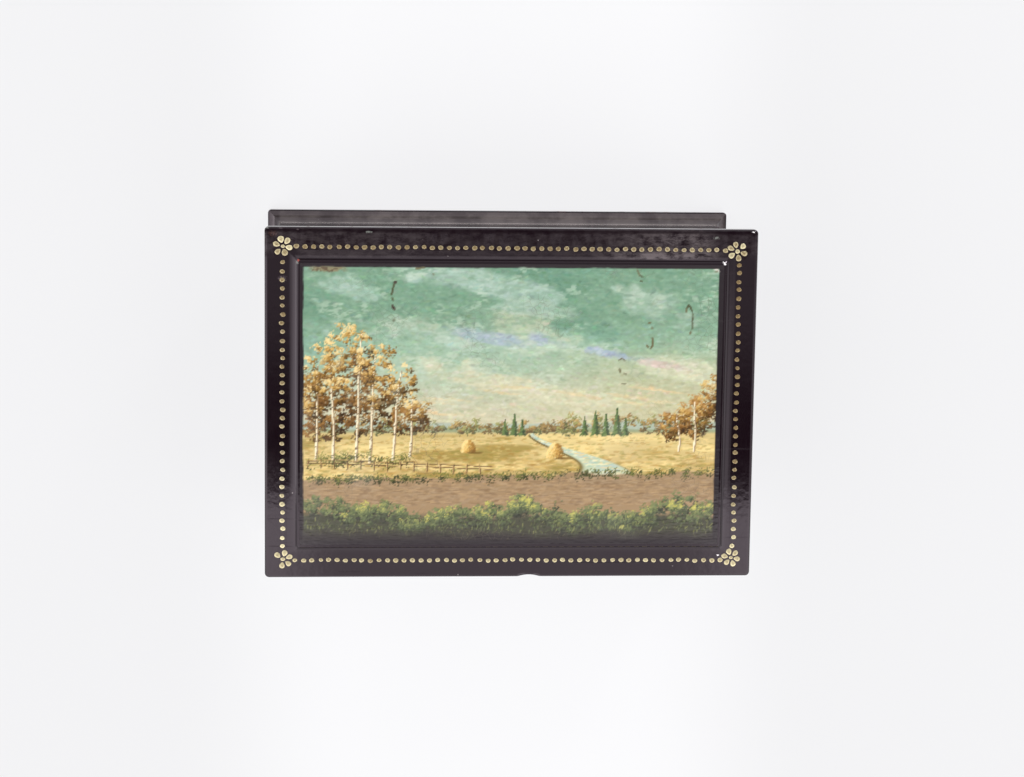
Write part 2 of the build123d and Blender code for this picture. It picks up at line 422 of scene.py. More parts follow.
def lacquer(name, coat=BLACK, haze=BLACK_HAZE, rim=False, spots=(), red_inside=False, dulled=None, dust_and_reflection=None,
            sheen=None):
    """Polished lacquer. rim wears the outer edges, spots are (place, size, softness, colour) in mm, dulled
    makes the mask of a film of dust in the material's nodes, which is also a painted sheen on the lid and
    the panel and a painted reflection on the back ledge, and sheen the strength of its mirror."""
    material, tree, shader = new_material(name)
    skin = put(tree, "Group", node_tree=handled)
    faint = skin["Haze"] * FAINT_HAZE
    dull = faint
    colour = faint.mix(coat, haze)
    # The film's colour is a dust colour, and in places also a painted sheen and a painted reflection.
    if dulled:
        film = dulled(tree)
        colour = film.mix(colour, dust_and_reflection)
        dull = dull.most(film)
    if red_inside:
        colour = inside_lid(tree).mix(colour, faint.mix(RED, RED_HAZE))
    colour = skin["Fleck"].mix(colour, FLECK)
    rough = dull * DULL_ADDS + POLISHED
    masks = [(put(tree, "Group", node_tree=worn_rim), PRIMER)] if rim else []
    for place, size, softness, bare_and_highlight in spots:
        inputs = {"Place": Vector(place) * MM, "Size": Vector(size) * MM, "Softness": softness}
        masks.append((put(tree, "Group", inputs, node_tree=bare_and_highlight_spot), bare_and_highlight))
    for mask, bare_and_highlight in masks:
        colour = mask.mix(colour, bare_and_highlight)
        rough = mask.calc("MULTIPLY_ADD", BARE_ADDS, rough, clamp=True)
    rough = skin["Scratch"].calc("MULTIPLY_ADD", SCRATCH_ADDS, rough, clamp=True)
    fill(shader, {"Base Color": colour, "Roughness": rough, "Specular Tint": MIRROR_TINGE})
    if sheen:
        fill(shader, {"Specular IOR Level": sheen(tree)})
    emboss(shader, skin["Height"], 0.1, 0.08)
    return material


print("lacquer recipe ready")

# %% [markdown]
# ## Where the lacquer is dull, and where sheen and reflections are painted
# Along the hinge side the lid's frame is scuffed: haze has gathered in streaks, densest on the right and
# by the panel, where the pale film is also a painted sheen. The polish is worn off in patches, and at the
# start of the rounded edge the mirror is weakened as a painted dark reflection. The mouldings of the
# plinth are ledges, and dust that polish never reaches lies on them, thickest where they meet the wall;
# on the back ledge the same pale film is also a painted reflection of the bright backdrop. The foot of
# the wall is paler in the same colour.


# %% Make the masks for haze, dust, painted sheen and painted reflection
def hinge_side_haze_and_sheen(tree, start, end):
    """Haze in streaks along the box, only towards its back, and densest on the right, where it is also a
    painted sheen.
    """
    place = here(tree)
    x, y, _ = place.axes()
    cloud = place.streaks((260.0, 560.0, 260.0), 6.0, 0.72).ramp(0.33, 0.68)
    # On the right, and more by the panel, the haze is made denser as a painted sheen.
    right = x.fade(20, 50) * x.fade(69.5, 66.5) * y.fade(0, 10)
    sheen_by_panel = right * y.fade(50.8, 48.8, 0.0, 0.75)
    denser = x.fade(20, 60, 0.14, 0.76) + x.fade(-10, -40, 0.0, 0.1) + sheen_by_panel
    corner = x.fade(60, 68, 1.0, 0.2)
    back = y.fade(start, end).most(right)
    edge = y.fade(56.4, 55.6, 0.25, 1.0)
    return (cloud * denser * corner * back).calc("MULTIPLY", edge, clamp=True)


def lid_haze_and_sheen(tree):
    """Haze and painted sheen on the lid's frame."""
    return hinge_side_haze_and_sheen(tree, 46.5, 51.5)


def panel_haze_and_sheen(tree):
    """Haze and painted sheen on the foot of the panel's back slope, but not on its steep part."""
    x, _, z = here(tree).axes()
    return hinge_side_haze_and_sheen(tree, 45, 46.2) * z.fade(71.2, 70.7) * abs(x).fade(71, 68)


def lid_sheen(tree):
    """The lid's mirror, worn weak in patches along the hinge side, and weakened at the start of the rounding
    as a painted dark reflection.
    """
    place = here(tree)
    _, y, _ = place.axes()
    on_top = y.fade(57.1, 56.9)
    worn = place.streaks((420.0, 170.0, 260.0), 4.0, 0.6).ramp(0.62, 0.4) * y.fade(46.5, 49.5) * on_top
    # A band at the start of the rounding weakens the mirror: a painted dark reflection.
    dark_reflection_band = y.fade(55.2, 56.1) * on_top
    return worn.ramp(0.0, 1.0, 0.5, 0.17) * dark_reflection_band.ramp(0.0, 1.0, 1.0, 0.3)


def hinge_side_share(tree):
    """1 at the hinge side and little on the other sides: dust lies there where hands seldom reach, and the
    back ledge there takes its painted reflection of the bright backdrop.
    """
    _, y, _ = here(tree).axes()
    return y.fade(49, 52.5, 0.1, 1.0)


def ledge_dust_and_reflection(tree):
    """Dust on a ledge, and on the back ledge also a painted reflection of the bright backdrop: an uneven
    film that gets thick at the top, where the ledge meets the wall.
    """
    place = here(tree)
    x, _, z = place.axes()
    # On the back ledge this film is also a painted reflection of the bright backdrop.
    film = place.noise(90.0, 6.0, 0.66).ramp(0.36, 0.64, 0.45, 1.15)
    thick = z.fade(6.7, 7.6, 0.28, 0.8) + z.fade(3.7, 4.6) * z.fade(5.5, 4.7, 0.0, 0.16)
    mitre = x.fade(-76.6, -75.4, 0.4, 1.0)
    ends = x.fade(-70, -35, 0.62, 1.0) * x.fade(25, 60, 1.0, 0.84)
    return film * ends * thick * mitre * hinge_side_share(tree)


def wall_foot_film(tree):
    """The same pale film low on the wall, mostly at the hinge side."""
    place = here(tree)
    _, _, z = place.axes()
    film = place.noise(160.0, 6.0, 0.7)
    low = (z + film.ramp(0.3, 0.7, -0.8 * MM, 0.8 * MM)).fade(12.5, 7.5)
    return film.ramp(0.25, 0.7, 0.55, 1.0) * low * hinge_side_share(tree)


print("masks ready")

# %% [markdown]
# ## Knocks and painted highlights
# A few knocks and smears have places of their own, as the photograph shows them. Four small lighter marks
# among them are painted highlights: two at the left end of the lid's back edge, one on the lid's back right
# corner and one on the panel's back right corner. Each is a place and a size in mm, a softness and a colour.

# %% Lacquer the pieces
LID_KNOCKS = [
    ((-77.2, 55.3, 69.6), (1.9, 1.3, 1.0), 0.8, PRIMER),
    ((-46.5, 56.0, 70.0), (1.2, 0.45, 1.0), 0.7, CHIP_AND_HIGHLIGHT),
    ((69.2, -50.3, 70.0), (0.6, 0.34, 1.0), 0.4, WHITE_CHIP_AND_HIGHLIGHT),
    ((70.9, 48.1, 70.0), (1.3, 1.0, 1.0), 0.8, PRIMER),
    ((-48.9, 49.6, 70.0), (0.35, 0.25, 1.0), 0.5, CHIP_AND_HIGHLIGHT),
    ((-34.2, 47.7, 70.0), (0.4, 0.25, 1.0), 0.5, CHIP_AND_HIGHLIGHT),
    ((-69.4, 56.7, 70.0), (0.5, 0.3, 1.5), 0.5, SMEAR_AND_HIGHLIGHT),
    # The next two marks, pale and grey at the left end of the lid's back edge, are painted highlights.
    ((-79.1, 57.1, 69.4), (0.8, 0.3, 1.0), 0.6, CHIP_AND_HIGHLIGHT),
    ((-74.9, 57.1, 69.4), (1.0, 0.3, 1.0), 0.8, SMEAR_AND_HIGHLIGHT),
    ((-74.3, 40.8, 70.0), (1.8, 1.2, 1.0), 0.9, SMEAR_AND_HIGHLIGHT),
    ((66.2, 54.8, 70.0), (1.2, 0.5, 1.0), 0.7, CHIP_AND_HIGHLIGHT),
    # A painted highlight on the lid's back right corner.
    ((78.2, 56.75, 69.9), (0.55, 0.32, 0.8), 0.6, WHITE_CHIP_AND_HIGHLIGHT),
]
PANEL_KNOCKS = [
    ((-69.2, 46.9, 71.6), (0.55, 0.55, 0.8), 0.5, RED_PRIMER),
    ((-69.6, 46.2, 71.6), (0.6, 0.8, 0.8), 0.8, CHIP_AND_HIGHLIGHT),
    # A painted highlight on the panel's back right corner.
    ((68.65, 46.6, 71.6), (0.75, 0.65, 0.8), 0.5, WHITE_CHIP_AND_HIGHLIGHT),
]
black_board = lacquer("black_lacquer_lid", rim=True, spots=LID_KNOCKS, red_inside=True, dulled=lid_haze_and_sheen,
                      dust_and_reflection=LID_HAZE_AND_SHEEN, sheen=lid_sheen)
black_plinth = lacquer("black_lacquer_plinth", rim=True)
black_wall = lacquer("black_lacquer_wall", red_inside=True, dulled=wall_foot_film, dust_and_reflection=LEDGE_DUST_AND_REFLECTION)
black_ledge = lacquer("black_lacquer_plinth_moulding", dulled=ledge_dust_and_reflection, dust_and_reflection=LEDGE_DUST_AND_REFLECTION)
black_cornice = lacquer("black_lacquer_cornice")
black_panel = lacquer("black_lacquer_panel", spots=PANEL_KNOCKS, dulled=panel_haze_and_sheen, dust_and_reflection=LID_HAZE_AND_SHEEN)
red_inside = lacquer("red_lacquer", RED, RED_HAZE)
print("lacquers:", [m.name for m in bpy.data.materials if "lacquer" in m.name])

# %% [markdown]
# ## Brass
# The hinge is brass, dulled by age: brown tarnish in soft patches, and fine drawing lines along the wire.

# %% Make the brass
BRASS = (0.72, 0.5, 0.22, 1)
TARNISH = (0.3, 0.19, 0.08, 1)
brass, tree, shader = new_material("aged_brass")
tarnish = here(tree).noise(320.0, 4.0)
tarnished = tarnish.ramp(0.42, 0.68).mix(BRASS, TARNISH)
fill(shader, {"Base Color": tarnished, "Roughness": tarnish.ramp(0.35, 0.7, 0.25, 0.5), "Metallic": 1.0})
emboss(shader, here(tree).streaks((60.0, 5000.0, 5000.0), 2.0), 0.2, 0.05)
print("metal:", brass.name)

# %% Give each solid its finish
SIDES = ("front", "back", "left", "right")
FINISHES = {
    black_board: ["lid_board"],
    black_plinth: ["plinth_board"],
    black_wall: ["wall_tube", "lid_rim"],
    black_ledge: ["plinth_" + side for side in SIDES],
    black_cornice: ["cornice_" + side for side in SIDES],
    black_panel: ["picture_panel"],
    red_inside: ["liner_tube", "floor_board"],
    brass: [name for name in nodes if name.startswith(("hinge_", "cross_"))],
}
for finish, names in FINISHES.items():
    for name in names:
        nodes[name].data.materials.clear()
        nodes[name].data.materials.append(finish)
print("finished solids:", sum(len(names) for names in FINISHES.values()), "of", len(nodes))

# %% [markdown]
# ## Gold paint
# The border is painted with bronze powder in varnish. The flakes lie every way, so the paint is half a
# metal and half a pale pigment, and it glints softly. An attribute holds a tone: it differs from touch to
# touch, it carries the painted light of the rows and petals, and it is browner in the middle as painted
# shade, where the top of each drop mirrors the dark opening of the tent.

# %% Make the gold paint
GOLD = (0.78, 0.705, 0.45, 1)
GOLD_BROWN = (0.195, 0.13, 0.055, 1)
gold, tree, shader = new_material("gold_paint")
tone = put(tree, "Attribute", attribute_name="tone")["Fac"]
powder = here(tree).noise(5200.0, 3.0)
colour = (tone * powder.ramp(0.3, 0.7, 0.6, 1.25)).mix(GOLD, GOLD_BROWN)
fill(shader, {"Base Color": colour, "Roughness": powder.ramp(0.3, 0.7, 0.34, 0.46), "Metallic": 0.5})
emboss(shader, powder, 0.25, 0.04)
print("paint:", gold.name)

# %% [markdown]
# ## One touch of the brush
# Each touch leaves a small drop that stands up from the lacquer, so it is a real little dome and not a
# flat pattern: a foot sunk into the lacquer, and rings that step inwards. Each ring has its share of the
# outline's size, its share of the height, and its share of the painted shade that darkens the middle.

# %% Shape one touch
SUNK = 0.04 * MM
# Each ring: its share of the size, of the height, and of the painted shade in the middle.
DOME = ((1.0, 0.0, 0), (0.88, 0.6, 0), (0.68, 0.93, 0.1), (0.4, 1.0, 0.8), (0.16, 0.97, 1))
DOME_MIDDLE = 0.95
MIDDLE_SHADE = 0.4
CLEAR_OF_LID = 0.01
depsgraph = bpy.context.evaluated_depsgraph_get()
lid_surfaces = [BVHTree.FromObject(nodes[name], depsgraph) for name in ("lid_board", "picture_panel")]


def ground(p):
    """The height of the lid below a point, found with a ray from above."""
    above = Vector((p.x, p.y, cad_box[1].z + CLEAR_OF_LID))
    hits = [surface.ray_cast(above, Vector((0, 0, -1)))[0] for surface in lid_surfaces]
    return max(hit.z for hit in hits if hit)


def touch(mesh, tones, outline, height, tone):
    """One closed drop of paint in a bmesh: a sunk foot, a round back and a slightly fallen middle."""
    def point(p, rise, middle_shade):
        made = mesh.verts.new((p.x, p.y, ground(p) + rise))
        # Towards the middle the tone takes painted shade.
        made[tones] = tone + middle_shade * MIDDLE_SHADE
        return made

    middle = sum(outline, Vector((0, 0))) / len(outline)
    rings = [[point(p, -SUNK, 0) for p in outline]]
    for share, rise, middle_shade in DOME:
        rings.append([point(middle.lerp(p, share), rise * height, middle_shade) for p in outline])
    top = point(middle, DOME_MIDDLE * height, 1)
    for i in range(len(outline)):
        j = (i + 1) % len(outline)
        for low, high in zip(rings, rings[1:]):
            mesh.faces.new((low[i], low[j], high[j], high[i]))
        mesh.faces.new((rings[-1][i], rings[-1][j], top))
    mesh.faces.new(list(reversed(rings[0])))


def gold_piece(name, touches):
    """One painted group of touches as an object that rides on the lid."""
    mesh = bmesh.new()
    tones = mesh.verts.layers.float.new("tone")
    for outline, height, tone in touches:
        touch(mesh, tones, outline, height, tone)
    for face in mesh.faces:
        face.smooth = True
    data = bpy.data.meshes.new(name)
    mesh.to_mesh(data)
    mesh.free()
    data.materials.append(gold)
    made = add_object(name, data)
    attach(made, "lid")


print("frame height in mm:", round(ground(Vector((-0.075, 0))) / MM, 2))

# %% [markdown]
# ## The dotted border
# The four rows were set out by eye: the dots keep almost the same step, but each is a little off in place
# and in size, and one in the front row has dried brown. The tones also paint the light: the dots are
# browner at the hinge side and on the right as painted shade, and paler towards the front and on the left
# as a painted reflection of the bright table, so the side rows turn paler in their last part. Each row has
# its two end dots, a count, a dot's half width and half height, and its first and last tone.

# %% Paint the dots
rng = np.random.default_rng(11)
# A row's first and last tone paint the light: browner at the hinge side, paler towards the front.
ROWS = {
    "back": ((-69.8, 51.2), (69.2, 50.75), 52, (0.86, 0.73), (0.77, 0.5)),
    "front": ((-70.2, -51.65), (70.0, -52.0), 52, (0.83, 0.7), (0.34, 0.3)),
    "left": ((-74.3, 46.05), (-74.3, -46.9), 34, (0.83, 0.71), (0.66, -0.15)),
    "right": ((73.9, 46.16), (74.12, -47.23), 34, (0.82, 0.7), (1.0, 0.1)),
}
BROWN_DOT = ("front", 9)
BROWN_TONE = 0.75
TONE_SPREAD = 0.2
PALER_FROM = 0.6
OFF_PLACE = 0.1
OFF_SIZE = 0.05
DOT_CORNERS = 14
DOT_RISE = 0.11 * MM


def dot_outline(middle, half_width, half_height):
    """A hand-made round: an ellipse whose radius wavers."""
    first, second = rng.uniform(0, 2 * math.pi, 2)
    points = []
    for i in range(DOT_CORNERS):
        a = 2 * math.pi * i / DOT_CORNERS
        waver = 1 + 0.035 * math.sin(2 * a + first) + 0.03 * math.sin(3 * a + second)
        points.append(middle + Vector((half_width * math.cos(a), half_height * math.sin(a))) * waver * MM)
    return points


for row, (start, end, count, (half_width, half_height), (brown, last)) in ROWS.items():
    touches = []
    for i in range(count):
        along = i / (count - 1)
        middle = Vector(start).lerp(Vector(end), along) + Vector(rng.normal(0, OFF_PLACE, 2))
        size = 1 + rng.normal(0, OFF_SIZE)
        tone = BROWN_TONE
        if (row, i) != BROWN_DOT:
            paler = max(0.0, (along - PALER_FROM) / (1 - PALER_FROM))
            tone = brown + (last - brown) * paler + float(rng.uniform(0, TONE_SPREAD))
        touches.append((dot_outline(middle * MM, half_width * size, half_height * size), DOT_RISE, tone))
    gold_piece("gold_dots_" + row, touches)
    print("row", row, "has", count, "dots")

# %% [markdown]
# ## The corner flowers
# Each flower is a centre dot with five or six petals, and a petal is one press of a pointed brush: a drop
# with its narrow end towards the centre. The painter turned and spaced the petals freely, so each has its
# own angle, distance, length, width and tone. The tones are partly painted light: petals facing the lamp
# are paler, and petals turned from it browner.

# %% Paint the flowers
# Each petal's tone is partly painted light.
FLOWERS = {
    "back_left": ((-74.1, 51.25), (0.62, 0.55), [
        (106, 2.28, 2.25, 2.2, 0.22), (51, 2.15, 2.4, 1.9, 0.32), (-11, 1.95, 2.36, 1.8, 0.12),
        (-73, 2.0, 2.3, 2.15, 0.62), (-134, 2.32, 2.2, 1.8, 0.57), (162, 2.12, 2.36, 1.8, 0.47)]),
    "back_right": ((73.15, 50.4), (0.74, 0.72), [
        (106, 2.2, 2.1, 1.8, 0.57), (44, 2.38, 1.95, 1.9, 0.22), (-16, 2.18, 2.3, 1.8, 0.67),
        (-80, 2.12, 2.25, 1.95, 0.62), (-146, 2.22, 2.25, 1.9, 0.22), (155, 2.35, 2.35, 1.7, 0.52)]),
    "front_left": ((-74.1, -51.27), (0.76, 0.64), [
        (143, 2.14, 2.2, 1.9, 0.32), (74, 2.03, 2.15, 1.95, 0.22), (20, 2.17, 2.25, 1.7, 0.27),
        (-39, 2.2, 2.1, 1.8, 0.37), (-97, 2.05, 2.1, 1.9, 0.32)]),
    "front_right": ((73.58, -51.2), (0.66, 0.52), [
        (110, 2.03, 2.15, 1.95, 0.27), (46.5, 1.95, 2.15, 1.75, 0.37), (-12, 2.0, 2.2, 1.7, 0.32),
        (-70, 2.1, 2.1, 1.9, 0.22), (-130, 1.95, 2.2, 1.7, 0.32), (167, 2.1, 2.25, 1.75, 0.37)]),
}
CENTRE_TONE = 0.3
PETAL_CORNERS = 18
PETAL_RISE = 0.12 * MM
PETAL_POINT = 0.6
PETAL_FULL = 0.56


def petal_outline(middle, angle, distance, length, width):
    """A drop: round outside, narrow where it points at the flower's middle."""
    along = Vector((math.cos(angle), math.sin(angle)))
    side = Vector((-along.y, along.x))
    points = []
    for i in range(PETAL_CORNERS):
        t = 2 * math.pi * i / PETAL_CORNERS
        out = distance - math.cos(t) * length / 2
        off = math.sin(t) * math.sin(t / 2) ** PETAL_POINT * width * PETAL_FULL
        points.append(middle + (along * out - side * off) * MM)
    return points


for corner, (middle, centre, petals) in FLOWERS.items():
    middle = Vector(middle) * MM
    touches = [(dot_outline(middle, *centre), DOT_RISE, CENTRE_TONE)]
    for angle, distance, length, width, tone in petals:
        outline = petal_outline(middle, math.radians(angle), distance, length, width)
        touches.append((outline, PETAL_RISE, tone))
    gold_piece("gold_flower_" + corner, touches)
    print("flower", corner, "has", len(petals), "petals")

# %% [markdown]
# ## The painting
# The panel carries a small oil painting under clear lacquer: here an autumn landscape with a green
# evening sky. A picture file isn't used. Instead the script paints as a painter does, from back to front:
# it keeps a canvas of colours in an array, washes large areas in, and sets thousands of small touches of
# a soft brush over them. The canvas then becomes the colours of the points of a thin film on the panel.
# Noise textures in the shader could make a sky, but not a tree where one is wanted. All places are in mm
# from the panel's middle.

# %% Stretch the canvas
FILM_HALF_LENGTH = 68.6
FILM_HALF_DEPTH = 46.1
GRAIN = 0.36
columns = round(2 * FILM_HALF_LENGTH / GRAIN) + 1
rows = round(2 * FILM_HALF_DEPTH / GRAIN) + 1
grid_x = np.linspace(-FILM_HALF_LENGTH, FILM_HALF_LENGTH, columns)
grid_y = np.linspace(-FILM_HALF_DEPTH, FILM_HALF_DEPTH, rows)
spot_x, spot_y = np.meshgrid(grid_x, grid_y)
canvas = np.zeros((rows, columns, 3))
brush = np.random.default_rng(5)


def tint(*levels):
    """A colour as it looks on screen, from 0 to 255."""
    return np.array(levels) / 255


def tints(*colours):
    """A list of such colours, from dark to light where the order matters."""
    return [tint(*levels) for levels in colours]


def ease(t):
    """A smooth way from 0 to 1."""
    return t * t * (3 - 2 * t)


def step(values, start, end):
    """0 before start, 1 after end, smooth between."""
    return ease(np.clip((values - start) / (end - start), 0, 1))


def wash(mask, colour):
    """Lays a colour over the canvas as strongly as the mask says."""
    canvas[:] += (colour - canvas) * np.asarray(mask)[..., None]


print("canvas of", columns, "by", rows, "grains")


# %% Make the brushes
def wander(size_x, size_y, octaves=4):
    """A soft random field from 0 to 1 over the canvas, with blotches of about that size."""
    total = np.zeros((rows, columns))
    weight = 0.0
    for octave in range(octaves):
        u = (spot_x + FILM_HALF_LENGTH) / size_x * 2 ** octave
        v = (spot_y + FILM_HALF_DEPTH) / size_y * 2 ** octave
        grid = brush.random((int(v.max()) + 2, int(u.max()) + 2))
        i, j = v.astype(int), u.astype(int)
        a, b = ease(v - i), ease(u - j)
        low = grid[i, j] * (1 - b) + grid[i, j + 1] * b
        high = grid[i + 1, j] * (1 - b) + grid[i + 1, j + 1] * b
        total += (low * (1 - a) + high * a) / 2 ** octave
        weight += 1 / 2 ** octave
    return total / weight


def dab(x, y, length, width, angle, colour, cover):
    """One touch of a soft brush."""
    reach = max(length, width) * 0.6
    c0, c1 = np.searchsorted(grid_x, (x - reach, x + reach))
    r0, r1 = np.searchsorted(grid_y, (y - reach, y + reach))
    dx, dy = spot_x[r0:r1, c0:c1] - x, spot_y[r0:r1, c0:c1] - y
    along = (dx * math.cos(angle) + dy * math.sin(angle)) / (length / 2)
    off = (dy * math.cos(angle) - dx * math.sin(angle)) / (width / 2)
    soft = np.clip((1.35 - along ** 2 - off ** 2) / 0.7, 0, 1) * cover
    canvas[r0:r1, c0:c1] += (colour - canvas[r0:r1, c0:c1]) * soft[..., None]


def anywhere():
    """A random place from the picture's left to its right."""
    return brush.uniform(-67, 67)


def pick(tones):
    """Any one of the tones."""
    return tones[brush.integers(len(tones))]


def lit_tone(tones, light):
    """The tone for an amount of light, from 0 to 1."""
    return tones[int(np.clip(light * len(tones), 0, len(tones) - 1))]


print("brushes ready")

# %% [markdown]
# ### The sky
# The ground colour goes from a grey green at the top to cream at the horizon. Clouds are long soft bodies
# that lie a little aslant, with edges broken by random fields. A cloud is a place, its half length and
# half height, a colour and a strength.

# %% Wash in the sky and the clouds
CLOUD_SLANT = 0.2
CLOUDS = [
    (-8, 38, 28, 5.5, (182, 206, 190), 0.9), (44, 33, 24, 6.5, (184, 204, 184), 0.9),
    (-34, 27, 24, 6.5, (184, 200, 176), 0.85), (16, 21, 36, 6, (192, 202, 172), 0.85),
    (30, 17.5, 26, 2.4, (156, 168, 182), 0.85), (-10, 23, 17, 2.2, (160, 174, 184), 0.8),
    (54, 11, 24, 5.5, (206, 204, 168), 0.9), (-52, 37, 14, 5, (178, 204, 186), 0.85),
    (0, 6, 50, 5, (210, 202, 164), 0.8), (48, 13.4, 14, 1.5, (196, 168, 156), 0.7),
    (12, 31, 16, 2.6, (170, 194, 172), 0.7),
]
wash(np.ones_like(spot_x), tint(128, 166, 138))
wash(step(spot_y, 34, 2) * 0.9, tint(182, 190, 160))
wash(step(spot_y, 14, -10) * 0.9, tint(206, 194, 156))
wash(step(spot_x, 0, 45) * step(spot_y, 26, 12) * 0.5, tint(190, 182, 136))
wash(step(wander(40, 20), 0.48, 0.7) * step(spot_y, 6, 26) * 0.75, tint(112, 154, 128))
banks = wander(24, 11, 5)
fine = wander(6, 3, 4)
dry = 0.62 + 0.38 * step(wander(2.4, 0.9, 3), 0.35, 0.65)
for x, y, half_x, half_y, colour, strength in CLOUDS:
    line = spot_y - y + CLOUD_SLANT * (spot_x - x)
    body = 1 - np.hypot((spot_x - x) / half_x, line / half_y)
    edge = body + (banks - 0.5) * 1.7 + (fine - 0.5) * 0.9
    wash(step(edge, 0.1, 0.6) * strength * dry, tint(*colour))
print("clouds:", len(CLOUDS))

# %% [markdown]
# Streaks of sun lie near the horizon. Short strokes over all of the sky then show the brush: each takes
# the colour it finds and changes it a little. A thin glaze darkens the whole.

# %% Stroke the sky
SKY_GLAZE = np.array((0.05, 0.04, 0.0))
HIGH_GLAZE = np.array((0.075, 0.085, 0.12))
SUN_STREAK = tint(228, 196, 142)
for _ in range(14):
    x, y = brush.uniform(-40, 62), brush.uniform(-5, 7)
    for bit in range(4):
        level = y - 0.3 * bit + brush.normal(0, 0.25)
        dab(x + 3 * bit, level, brush.uniform(4, 9), brush.uniform(0.5, 1.0), -0.1, SUN_STREAK, 0.32)
for _ in range(6500):
    x, y = anywhere(), brush.uniform(-8, 45)
    j, i = np.searchsorted(grid_x, x) - 1, np.searchsorted(grid_y, y) - 1
    colour = canvas[i, j] + brush.normal(0, 0.03) + brush.normal(0, 0.014, 3)
    dab(x, y, brush.uniform(1.0, 2.8), brush.uniform(0.5, 0.9), brush.normal(-0.1, 0.35), colour, 0.6)
canvas[:] += ((wander(5, 0.8, 2) - 0.5) * 0.05 + (wander(1.1, 0.8, 2) - 0.5) * 0.07)[..., None]
canvas[:] *= 1 - SKY_GLAZE - step(spot_y, 18, 30)[..., None] * HIGH_GLAZE
print("sky painted")

# %% [markdown]
# ### Hills and meadow
# Far hills are flat shapes with a wandering edge, paler the further away. The meadow is a wash with long
# flat touches that grow towards the viewer.

# %% Paint the land
GRASS = tints((232, 206, 140), (196, 158, 86), (152, 116, 56), (132, 126, 60))


def ridge(base, swing, size, colour):
    """A far line of hills: everything below its edge takes the colour."""
    edge = base + (wander(size, 400, 4)[0] - 0.5) * swing
    wash(step(edge[None, :] - spot_y, -0.3, 0.6) * 0.85, colour)


ridge(-4.6, 5, 46, tint(158, 172, 158))
ridge(-7.2, 4, 28, tint(140, 148, 112))
wash(step(spot_y, -8.4, -9.6), tint(200, 178, 122))
wash(step(spot_y, -12, -27) * 0.75, tint(176, 146, 90))
patches = wander(22, 3.2, 4)
wash(step(patches, 0.52, 0.72) * step(spot_y, -8.5, -10.5) * 0.8, tint(226, 204, 142))
wash(step(patches, 0.46, 0.28) * step(spot_y, -9, -11) * 0.7, tint(140, 120, 58))
for _ in range(2600):
    y = -9.3 - 20 * brush.random() ** 0.8
    near = (-9 - y) / 20
    tone = pick(GRASS)
    dab(anywhere(), y, 1.2 + 2.2 * near, 0.4 + 0.35 * near, brush.normal(0, 0.1), tone, 0.34)
print("land painted")

# %% [markdown]
# ### Trees
# A crown is built from clumps of leaves. Each clump is dark below and light above on the side of the sun,
# and its touches take their colour from a short list of tones, as a painter mixes a few and uses them all
# over.

# %% Make the ways to paint trees
LEAVES = 14
OCHRE = tints((70, 52, 28), (106, 78, 38), (142, 106, 52), (178, 140, 74), (206, 172, 106), (226, 200, 142))
RUST = tints((58, 42, 26), (86, 60, 32), (118, 82, 42), (148, 108, 58), (176, 136, 82))
OLIVE = tints((52, 54, 32), (78, 82, 44), (108, 110, 56), (140, 138, 74))
SPRUCE = tints((36, 48, 34), (52, 72, 42), (72, 98, 50), (92, 118, 62))
SHRUB = tints((52, 54, 44), (70, 77, 56), (90, 100, 66), (112, 120, 76), (142, 144, 86), (182, 174, 92))
BARK_SHADED, BARK_PALE, BARK_SCAR = tints((146, 122, 92), (240, 228, 196), (70, 54, 40))


def crown(x, y, half_width, half_height, tones, count, size):
    """Leaves in clumps: each clump is dark below on the right and light above on the left."""
    clumps = max(int(count / LEAVES), 1)
    for _ in range(clumps):
        a, r = brush.uniform(0, 2 * math.pi), math.sqrt(brush.random())
        cx, cy = x + math.cos(a) * r * half_width, y + math.sin(a) * r * half_height
        lit = 0.5 + 0.32 * math.sin(a) * r - 0.26 * math.cos(a) * r + brush.normal(0, 0.16)
        spread = size * brush.uniform(0.8, 1.7) if clumps > 1 else half_width
        for _ in range(LEAVES):
            u, v = brush.normal(0, 0.6, 2)
            tone = lit_tone(tones, lit + 0.22 * (v - 0.6 * u) + brush.normal(0, 0.08))
            dab(cx + u * spread, cy + v * spread * 0.8, size * brush.uniform(0.6, 1.1),
                size * brush.uniform(0.45, 0.7), brush.uniform(-1, 0.6), tone + brush.normal(0, 0.02), 0.8)


def spruce(x, foot, height, tones):
    """A spruce: short drooping touches in tiers, wider towards its foot and ending in a point."""
    for _ in range(int(height * 22)):
        t = brush.random() ** 1.25
        tier = 1 - (t * height * 0.8) % 1
        half = (1 - t) * height * 0.23 * (0.5 + 0.5 * tier)
        off = brush.uniform(-1, 1)
        tone = tones[min(int(brush.random() * 2.2 + (off < 0.1) * 1.6), 3)]
        dab(x + off * half, foot + t * height, 0.5 + 0.5 * (1 - t), 0.42, -0.7 * np.sign(off), tone, 0.8)


def birch(x, foot, height, lean, width=0.9):
    """A birch trunk: pale on the lit side, shaded on the other, with dark scars."""
    for t in np.linspace(0, 1, int(height * 6)):
        half = width * (1 - 0.65 * t) / 2
        px = x + lean * t * t * height + 0.35 * math.sin(5 * t)
        py = foot + t * height
        dab(px + half * 0.4, py, half * 2, 0.5, 0, BARK_SHADED, 0.9)
        dab(px - half * 0.25, py, half * 1.5, 0.5, 0, BARK_PALE, 0.9)
        if brush.random() < 0.16:
            dab(px + brush.uniform(-0.5, 0.5) * half, py, half * 1.6, 0.4, 0, BARK_SCAR, 0.85)


print("tones of leaves:", len(OCHRE), len(RUST), len(OLIVE), len(SPRUCE), len(SHRUB))

# %% [markdown]
# ### The far wood and the river
# The far wood is mixed with the haze of the air. The river is a row of level touches along a curve, from
# the far meadow to the right, wider as it comes nearer.

